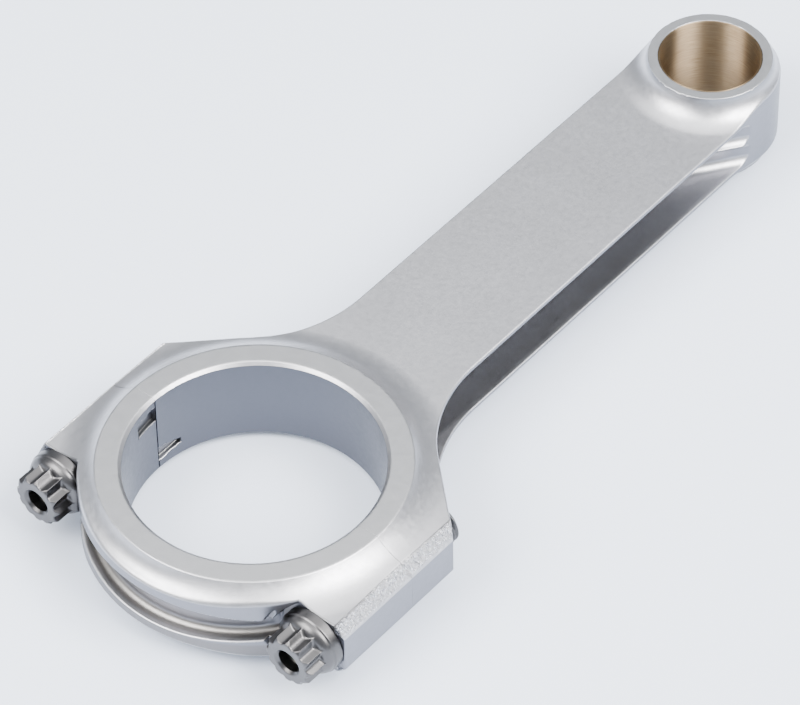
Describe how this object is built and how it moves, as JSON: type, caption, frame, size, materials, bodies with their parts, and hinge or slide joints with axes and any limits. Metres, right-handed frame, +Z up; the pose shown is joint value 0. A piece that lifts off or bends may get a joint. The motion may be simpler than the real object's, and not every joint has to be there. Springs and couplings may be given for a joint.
{
  "type": "connecting rod",
  "caption": "Forged steel connecting rod: H-section beam, split crank end with a cap held by flanged screws and located by sleeves, and a bronze-bushed pin end.",
  "frame": {"origin": "centre of the bounding box in plan, on the plane that the rod lies on", "axes": "+X along the rod from the crank end to the pin end, +Y across the cap screws towards the side with the tang notches, +Z up along both bores"},
  "size_m": [0.2042, 0.0828, 0.0241],
  "materials": {
    "forged_steel": "shot-peened satin, light grey",
    "cap_steel": "shot-peened satin, light grey",
    "screw_steel": "polished",
    "sleeve_steel": "ground",
    "bushing_bronze": "honed bronze"
  },
  "bodies": {
    "rod": {"rod_body": "forged_steel", "pin_bushing": "bushing_bronze", "dowel_sleeve_left": "sleeve_steel", "dowel_sleeve_right": "sleeve_steel"},
    "cap": {"rod_cap": "cap_steel"},
    "screw_left": {"cap_screw_left": "screw_steel"},
    "screw_right": {"cap_screw_right": "screw_steel"}
  },
  "joints": [
    {"name": "cap_removal", "type": "slide", "parent": "rod", "child": "cap", "axis": [-1, 0, 0], "range_m": [0, 0.03]},
    {"name": "screw_left_withdrawal", "type": "slide", "parent": "cap", "child": "screw_left", "axis": [-1, 0, 0], "range_m": [0, 0.036]},
    {"name": "screw_right_withdrawal", "type": "slide", "parent": "cap", "child": "screw_right", "axis": [-1, 0, 0], "range_m": [0, 0.036]}
  ]
}
